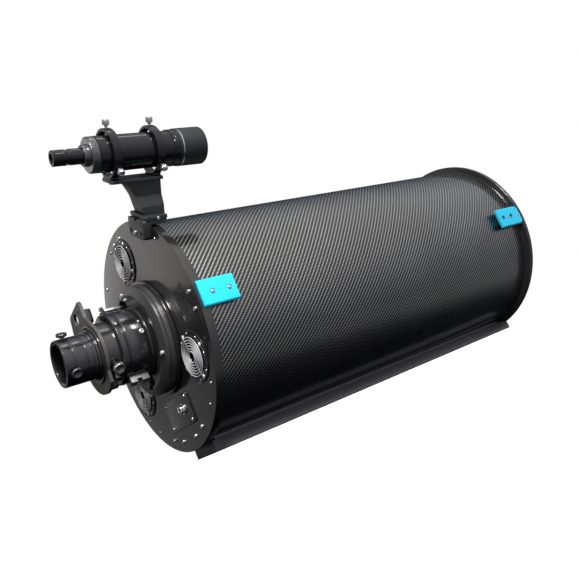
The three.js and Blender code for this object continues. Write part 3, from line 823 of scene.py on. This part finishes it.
def build_drive():
    shaft = bmesh.new()
    hexagon = [(-58, 3.9, "hex"), (-57.2, 4.6, "hex"), (-13.2, 4.6, "hex"), (-12.4, 3.9, "hex")]
    lathe(shaft, hexagon, 48, False, Matrix.Translation((0, SHAFT_Y, SHAFT_Z)))
    make("drive_shaft_hex", shaft, "steel", "drive_shaft_body", ["focus_drive_shaft"])

    plate = slab(drive_plate_outline(), -101, -96, 0, 0)
    holes = bmesh.new()
    for y, z, radius in ((0, 0, NOSE_R + 0.3), MOTOR_SEAT, (1, 72, 2.4), (46, 69, 2.4)):
        rod(-104, -93, radius, 96 if radius > 20 else 48, Matrix.Translation((0, y, z)), holes)
    plate = boolean(plate, holes)
    make("drive_plate_machined", plate, "bronze", nodes=["motor_bracket"], sharp=30)

    stay = slab([(7, 55), (21, 53), (21, 71), (17, 75), (11, 75), (7, 71)], -63, -58.8, 1.2, 0.5)
    make("shaft_stay", stay, "focuser")
    stay_screws = bmesh.new()
    for z in (SHAFT_Z, SHAFT_Z - 8):
        cap_screw(2.2, 2.2, stay_screws, facing_rear(-63, SHAFT_Y, z))
    make("shaft_stay_screws", stay_screws, "steel")

    housing = slab(rectangle(-7, 12, 50, 74), -95.7, -84, 5, 1.0)
    make("gear_housing", housing, "focuser")
    knob = bmesh.new()
    profile = [(-95.6, 3), (-93, 3), (-93, 6.4, "knurl18"), (-85, 6.4, "knurl18"), (-84, 5.6)]
    lathe(knob, profile, 72, False, Matrix.Translation((0, -8, -55.5)))
    make("clamp_knob", knob, "knob")

    tension = block(-68, -38, -6, 6, 57.0, 69.5, 1.0, 0.8)
    notch = block(-58, -50, -8, 8, 64.5, 72, 0, 0)
    make("tension_block_milled", boolean(tension, notch), "milled", nodes=["tension_block"],
         place=radial(-72))
    tension_knob = bmesh.new()
    profile = [(-1, 2.2), (7, 2.2), (7, 4.8, "knurl16"), (12.5, 4.8, "knurl16"), (13.2, 4)]
    lathe(tension_knob, profile, 64, False, on_radius(-85.5, -62, NOSE_R))
    make("tension_knob", tension_knob, "dark_screw")

    screws = bmesh.new()
    for degrees in FAN_ANGLES:
        y, z = around(degrees, 82)
        cap_screw(4.3, 4.6, screws, facing_rear(-23.2, y, z))
    for degrees in (3, 183):
        cap_screw(4.2, 3.2, screws, on_radius(-38, degrees, BODY_R - 0.4))
    for x, degrees in ((-36, 21), (-70, 27), (-70, 153), (-36, 159), (-70, -93)):
        button_screw(2.4, 1.4, screws, on_radius(x, degrees, BODY_R - 0.2))
    make("focuser_cap_screws", screws, "steel")


def knurled_screw(inner, shank, head_r, head_length, shank_r=2.2):
    """A thumbscrew along +X: shank, collar, knurled head with a dished top."""
    a = inner + shank
    b = a + 2
    c = b + head_length
    teeth = f"knurl{24 if head_r > 6 else 18}"
    profile = [
        (inner, shank_r * 0.8), (inner + 0.5, shank_r), (a, shank_r), (a, head_r * 0.5),
        (a + 0.5, head_r * 0.55), (b, head_r * 0.55), (b, head_r * 0.9), (b + 0.7, head_r, teeth),
        (c, head_r, teeth), (c + 0.9, head_r * 0.88), (c + 1, head_r * 0.7), (c + 0.2, head_r * 0.5),
        (c - 0.2, head_r * 0.2),
    ]
    return lathe(bmesh.new(), profile, 96, False)


def build_thumbscrews():
    for name, degrees in THUMBSCREW_ANGLES.items():
        place = radial(degrees) @ Matrix.Translation((ADAPTER_X, 0, 0)) @ OUTWARD
        screw = knurled_screw(30.3, 8.6, 8, 4)
        make(f"adapter_thumbscrew_{name}_knurled", screw, "dark_screw", f"adapter_thumbscrew_{name}_body",
             [f"adapter_thumbscrew_{name}"], place)
    place = radial(LOCK_ANGLE) @ Matrix.Translation((LOCK_X, 0, 0)) @ OUTWARD
    knob = knurled_screw(NOSE_R + 0.3, 8, 9, 6, 3.4)
    made = make("lock_knob_knurled", knob, "worn_steel", "lock_knob_body", ["drawtube_lock_knob"], place)
    made.data.materials.append(MATERIALS["steel"])
    to_screw = (ROW @ place).inverted()
    head_start = NOSE_R + 10.2
    for polygon in made.data.polygons:
        if (to_screw @ polygon.center).x < head_start:
            polygon.material_index = 1


# ---------------------------------------------------------------- finder scope


def build_finder_mount():
    foot = slab(rectangle(-27, 27, 172, 202), -13, -0.3, 5, 0.7)
    shelf = block(-4, 26, -27, 27, 195.5, 202, 0.8, 0.6)
    foot = boolean(foot, shelf, "UNION")
    foot = boolean(foot, block(-20, 30, -4, 4, 198.5, 205, 0, 0))
    holes = bmesh.new()
    for y in (-17, 17):
        rod(-16, -6, 3.4, 40, Matrix.Translation((0, y, 181)), holes)
    foot = boolean(foot, holes)
    make("finder_foot_machined", foot, "mount", nodes=["finder_foot"], place=FINDER)

    profile = [
        (-17, SHOE_TOP - 6), (17, SHOE_TOP - 6), (17, 221), (11, 237), (11, BAR_TOP - 5.8),
        (-11, BAR_TOP - 5.8), (-11, 237), (-17, 221),
    ]
    stalk = slab(profile, -30, 28.5, 0.6, 0.7)
    scoop = Matrix.Translation((-149.5, 0, 170.6)) @ Matrix.Rotation(math.pi / 2, 4, "Z")
    stalk = boolean(stalk, rod(-40, 40, 150, 480, scoop))
    stalk = boolean(stalk, block(-8, 27, -28, 28, 202.3, SHOE_TOP, 1.2, 0.6), "UNION")
    make("finder_stalk_machined", stalk, "mount", nodes=["finder_stalk"], place=FINDER, sharp=12)

    bar = slab(rectangle(-19, 19, BAR_TOP - 5.5, BAR_TOP), -51, 29, 1.5, 0.8)
    make("finder_bar_machined", bar, "mount", nodes=["finder_ring_bar"], place=FINDER)

    screws = bmesh.new()
    cap_screw(3.6, 3.2, screws, FINDER @ facing_rear(-13, 0, 181))
    side = FINDER @ Matrix.Translation((10, -28, 205.4)) @ Matrix.Rotation(-math.pi / 2, 4, "Z")
    cap_screw(2.6, 4.2, screws, side)
    for x in RING_STATIONS.values():
        under = FINDER @ Matrix.Translation((x, 0, BAR_TOP - 5.4)) @ Matrix.Rotation(math.pi / 2, 4, "Y")
        cap_screw(3.4, 2.6, screws, under)
    make("finder_mount_screws", screws, "steel")


def build_finder_rings():
    for end, station in RING_STATIONS.items():
        x0, x1 = station - 6, station + 6
        ring = turned([(x0, 31), (x0, 35.6), (x1, 35.6), (x1, 31)], 128, 1.1)
        ring.transform(Matrix.Translation((0, 0, FINDER_RADIUS)))
        seat = block(x0, x1, -14, 14, BAR_TOP + 0.3, FINDER_RADIUS - 31.6, 0.8, 0.5)
        ring = boolean(ring, seat, "UNION")
        bores = bmesh.new()
        for turn in SCREW_TURNS.values():
            spot = Matrix.Translation((station, 0, FINDER_RADIUS)) @ roll(turn)
            rod(25, 42, 2.5, 28, spot @ OUTWARD, bores)
        ring = boolean(ring, bores)
        make(f"finder_ring_{end}_turned", ring, "finder", nodes=[f"finder_ring_{end}"], place=FINDER)
        for side, turn in SCREW_TURNS.items():
            spot = FINDER_AXIS @ Matrix.Translation((station, 0, 0)) @ roll(turn)
            screw = knurled_screw(FINDER_TUBE_R + 0.4, 11.4, 5.0, 6.4, 2)
            name = f"finder_screw_{end}_{side}"
            make(f"{name}_knurled", screw, "steel", f"{name}_body", [name], spot @ OUTWARD)


def build_finder_scope():
    place = FINDER_AXIS
    tube = turned([
        (-66, 23.5), (-66, FINDER_TUBE_R), (48, FINDER_TUBE_R), (48, 27.4), (52, 27.4), (52.4, 26.9),
        (53.2, 26.9), (53.6, 27.4), (58, 27.4), (58, 24.5), (47, 24.5), (47, 23.5),
    ], 128, 0.4)
    make("finder_tube_turned", tube, "finder", nodes=["finder_tube"], place=place)

    objective = bmesh.new()
    rim = [(49, 24.2)]
    curve = 200
    for k in range(10):
        r = 24.2 - 2.6 * k
        rim.append((57 - (curve - math.sqrt(curve * curve - r * r)), max(r, 0.4)))
    lathe(objective, rim, 96, False)
    make("finder_objective_lens", objective, "lens", nodes=["finder_objective"], place=place, sharp=50)

    shade = turned([
        (58.3, 24.5), (58.3, 27.6), (59, 28.2), (62.4, 28.2), (62.8, 27.5), (64.2, 27.5), (64.6, 28.5),
        (102.5, 28.5), (104, 27.6), (104, 26.3), (62, 26.3), (62, 24.5),
    ], 128, 0.35)
    make("finder_dew_shield_crinkle", shade, "dew", nodes=["finder_dew_shield"], place=place)
    line = turned([(62.7, 27.3), (62.7, 28.05), (64.3, 28.05), (64.3, 27.3)], 128, 0.2)
    make("finder_silver_line", line, "steel", place=place)

    holder = turned([
        (-66.3, 11.6), (-66.3, 25.2), (-67, 25.8), (-75.8, 25.8), (-77, 24.6), (-77, 15.6), (-77.6, 15),
        (-84.2, 15), (-85, 14.2), (-85, 11.6),
    ], 128, 0.4)
    # The holder gets the lightened black, which is painted sheen.
    make("finder_holder_turned", holder, "finder_satin_painted_sheen", nodes=["finder_eyepiece_holder"], place=place)
    # A thin bright ring laid over the holder's rear face, which is a painted reflection.
    painted_reflection_ring = turned([(-76.8, 16), (-76.8, 24.3), (-77.4, 24.1), (-77.4, 16.2)], 128, 0.2)
    make("finder_holder_painted_reflection", painted_reflection_ring, "finder_painted_reflection", place=place)

    barrel = [(-126.2, 6.5), (-127, 7.2), (-127, 10.4), (-126.2, 11.2)]
    x = -124
    while x < -112:
        barrel += [(x, 11.2), (x + 0.4, 10.6), (x + 1.2, 10.6), (x + 1.6, 11.2)]
        x += 2.4
    barrel += [
        (-108, 11.2), (-107.4, 10.2), (-104, 10.2), (-103.4, 11.2), (-90.2, 11.2), (-62, 11.2), (-62, 7.5),
        (-120, 7.5), (-120, 6.5),
    ]
    make("finder_eyepiece_barrel", turned(barrel, 96, 0.2), "finder", "eyepiece_body",
         ["finder_eyepiece"], place)
    eye = bmesh.new()
    lathe(eye, [(-119.8, 7.3), (-122.0, 6.3), (-123.2, 4.6), (-123.7, 2.4), (-123.8, 0.4)], 48, False)
    make("finder_eye_lens", eye, "eye_lens", "eyepiece_body", place=place, sharp=50)

    screws = bmesh.new()
    for turn in (60, 180, 300):
        spot = place @ roll(turn) @ Matrix.Translation((50, 0, 27.2)) @ OUTWARD
        button_screw(1.4, 0.8, screws, spot)
    make("finder_cell_screws", screws, "steel")


# ---------------------------------------------------------------- optics


def build_optics():
    pole, curve = 109.3, 1900
    face = []
    for k in range(25):
        r = 48 + (162 - 48) * k / 24
        face.append((pole + curve - math.sqrt(curve * curve - r * r), r))
    profile = face + [(77.5, 162), (76.3, 160.8), (76.3, 48)]
    bm = bmesh.new()
    lathe(bm, profile, 256, True)
    make("primary_mirror_figured", bm, "mirror", nodes=["primary_mirror"])

    baffle = [(58.3, 43.5), (385, 43.5), (385, 41.5)]
    for k in range(12):
        x = 372 - 26 * k
        baffle += [(x, 41.5), (x - 1, 39.6), (x - 1.4, 41.5)]
    baffle += [(58.3, 41.5)]
    make("baffle_ribbed", turned(baffle, 128, 0), "inner", nodes=["primary_baffle"])

    convex = [(651.7, 55)]
    for k in range(16):
        r = 55 - 54.5 * k / 15
        convex.append((629 + 900 - math.sqrt(900 * 900 - r * r), r))
    bm = bmesh.new()
    lathe(bm, convex, 192, False)
    make("secondary_mirror_figured", bm, "mirror", nodes=["secondary_mirror"], sharp=50)

    cell = [
        (652, 55.4), (652.6, 56), (660, 56), (671, 27), (672, 26), (700, 26), (741, 26), (742, 25),
        (742, 8), (740.6, 7.2),
    ]
    bm = bmesh.new()
    lathe(bm, cell, 144, False)
    make("secondary_cell_turned", bm, "ring", nodes=["secondary_cell"])
    screws = bmesh.new()
    for k in range(3):
        y, z = around(30 + 120 * k, 17)
        cap_screw(3.2, 3.0, screws, Matrix.Translation((742, y, z)))
    make("secondary_screws", screws, "steel")

    hub = turned([(684, 26.3), (684, 32), (728, 32), (728, 26.3)], 144, 0.8)
    for k in range(4):
        arm = block(690, 722, -0.9, 0.9, 30, 181.8, 0.3, 0.2)
        foot = block(688, 724, -9, 9, 179, 182.5, 0.8, 0.4)
        turn = roll(45 + 90 * k)
        arm.transform(turn)
        foot.transform(turn)
        hub = boolean(hub, arm, "UNION")
        hub = boolean(hub, foot, "UNION")
    make("spider_machined", hub, "ring", nodes=["spider"])


def dress_hidden_nodes():
    """CAD nodes that stay get welded, bevelled edges and a finish."""
    looks = {
        "mirror_cell": "inner", "corrector_cell": "inner", "corrector_lens_rear": "lens",
        "corrector_lens_front": "lens", "rail_pad_rear": "rail", "rail_pad_front": "rail",
        "fan_frame_1": "plastic", "fan_frame_2": "plastic", "fan_frame_3": "plastic",
    }
    for name, look in looks.items():
        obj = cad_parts[name]
        obj.data.materials.clear()
        obj.data.materials.append(MATERIALS[look])
        weld = obj.modifiers.new("weld", "WELD")
        weld.merge_threshold = 0.00001
        if look != "lens":
            bevel = obj.modifiers.new("edges", "BEVEL")
            bevel.width = 0.0004
            bevel.segments = 2
            bevel.limit_method = "ANGLE"
            bevel.angle_limit = math.radians(40)


# ---------------------------------------------------------------- studio


def build_camera():
    scene = bpy.context.scene
    camera = bpy.data.objects.new("camera", bpy.data.cameras.new("camera"))
    camera.data.lens = 39.25
    camera.data.sensor_width = 36
    camera.data.clip_start = 0.002
    right = Vector((0.7841, -0.4884, -0.3830)).normalized()
    back = Vector((-0.5830, -0.7913, -0.1842))
    back = (back - right * back.dot(right)).normalized()
    up = back.cross(right)
    camera.matrix_world = Matrix((
        (right.x, up.x, back.x, -0.8135),
        (right.y, up.y, back.y, -0.9558),
        (right.z, up.z, back.z, 0.0052),
        (0, 0, 0, 1),
    ))
    scene.collection.objects.link(camera)
    scene.camera = camera


def build_floor():
    """A white floor that shows neither in the metal nor as bounced light."""
    reach = 60
    corners = [(-reach, -reach, 0), (reach, -reach, 0), (reach, reach, 0), (-reach, reach, 0)]
    floor_mesh = bpy.data.meshes.new("floor")
    floor_mesh.from_pydata(corners, [], [(0, 1, 2, 3)])
    floor = bpy.data.objects.new("floor", floor_mesh)
    bpy.context.scene.collection.objects.link(floor)
    material, tree, shader = blank("pale_floor")
    coords, _, _, _ = object_axes(tree)
    colour = tone(tree, noise(tree, coords, 3, 2), (0.80, 0.80, 0.80), (0.84, 0.84, 0.84))
    tree.links.new(colour, shader.inputs["Base Color"])
    set_inputs(shader, roughness=0.9, specular=0.1)
    shader.inputs["Emission Color"].default_value = (1, 1, 1, 1)
    shader.inputs["Emission Strength"].default_value = 1.0
    floor_mesh.materials.append(material)
    floor.visible_glossy = False
    floor.visible_diffuse = False


# Sky brightness from the floor side (0) to the lit side (1).
SKY_STOPS = (
    (0.0, (0.006, 0.007, 0.008)), (0.27, (0.014, 0.015, 0.018)), (0.31, (0.09, 0.095, 0.105)),
    (0.37, (0.24, 0.24, 0.245)), (0.50, (0.24, 0.25, 0.27)), (0.63, (0.38, 0.39, 0.42)),
    (0.75, (0.62, 0.63, 0.66)), (0.88, (0.88, 0.88, 0.90)), (1.0, (1.0, 1.0, 1.02)),
)


def build_world():
    """A sky with a dark floor side and a dusky far side. The camera itself sees white."""
    world = bpy.data.worlds.new("studio")
    bpy.context.scene.world = world
    world.use_nodes = True
    tree = world.node_tree
    tree.nodes.clear()
    direction = node(tree, "ShaderNodeTexCoord").outputs["Generated"]
    towards_sky = node(tree, "ShaderNodeVectorMath", {0: direction, 1: (0.0, -0.643, 0.766)},
                       operation="DOT_PRODUCT").outputs["Value"]
    ramp = node(tree, "ShaderNodeValToRGB", {0: calc(tree, "MULTIPLY_ADD", towards_sky, 0.5, 0.5)})
    elements = ramp.color_ramp.elements
    for element, (position, colour) in zip(elements, (SKY_STOPS[0], SKY_STOPS[-1])):
        element.position = position
        element.color = (*colour, 1)
    for position, colour in SKY_STOPS[1:-1]:
        elements.new(position).color = (*colour, 1)
    across = node(tree, "ShaderNodeSeparateXYZ", {0: direction}).outputs[1]
    far_side = node(tree, "ShaderNodeMapRange", {0: across, 1: -0.10, 2: 0.60}).outputs[0]
    dusk = tone(tree, far_side, (1.0, 1.0, 1.0), (0.10, 0.14, 0.20))
    sky = node(tree, "ShaderNodeVectorMath", {0: ramp.outputs[0], 1: dusk}, operation="MULTIPLY").outputs[0]
    studio = node(tree, "ShaderNodeBackground", {0: sky, 1: 1.0})
    white = node(tree, "ShaderNodeBackground", {0: (1, 1, 1, 1), 1: 1.0})
    ray = node(tree, "ShaderNodeLightPath").outputs["Is Camera Ray"]
    mix = node(tree, "ShaderNodeMixShader", {0: ray, 1: studio.outputs[0], 2: white.outputs[0]})
    output = tree.nodes.new("ShaderNodeOutputWorld")
    tree.links.new(mix.outputs[0], output.inputs[0])


# Name, direction, distance, width, depth, watts and colour.
LAMPS = (
    ("sun", (-0.30, -0.74, 0.60), 2.6, 0.5, 0.5, 72, (1.0, 0.975, 0.93)),
    ("glint", (0.10, -0.26, 0.95), 2.6, 0.36, 0.36, 1.6, (1.0, 0.98, 0.95)),
    ("card", (-0.48, 0.80, 0.50), 2.7, 2.2, 1.25, 5.2, (1.0, 0.955, 0.89)),
    ("low_card", (-0.50, 0.85, 0.0), 2.7, 2.4, 1.1, 1.5, (1.0, 0.99, 0.98)),
)


def build_lamps():
    scene = bpy.context.scene
    centre = Vector((-0.05, 0, AXIS_Z))
    for name, direction, distance, width, depth, power, colour in LAMPS:
        light = bpy.data.lights.new(name, "AREA")
        light.shape = "RECTANGLE"
        light.size = width
        light.size_y = depth
        light.energy = power
        light.color = colour
        lamp = bpy.data.objects.new(name, light)
        lamp.location = centre + Vector(direction).normalized() * distance
        lamp.rotation_euler = (centre - lamp.location).to_track_quat("-Z", "Y").to_euler()
        lamp.visible_camera = False
        scene.collection.objects.link(lamp)


# ---------------------------------------------------------------- assembly

build_tube()
build_rail()
build_brackets()
build_fans()
build_electronics()
build_focuser()
build_drive()
build_thumbscrews()
build_finder_mount()
build_finder_rings()
build_finder_scope()
build_optics()
dress_hidden_nodes()
build_camera()
build_floor()
build_world()
build_lamps()
bpy.context.scene.view_settings.view_transform = "Standard"
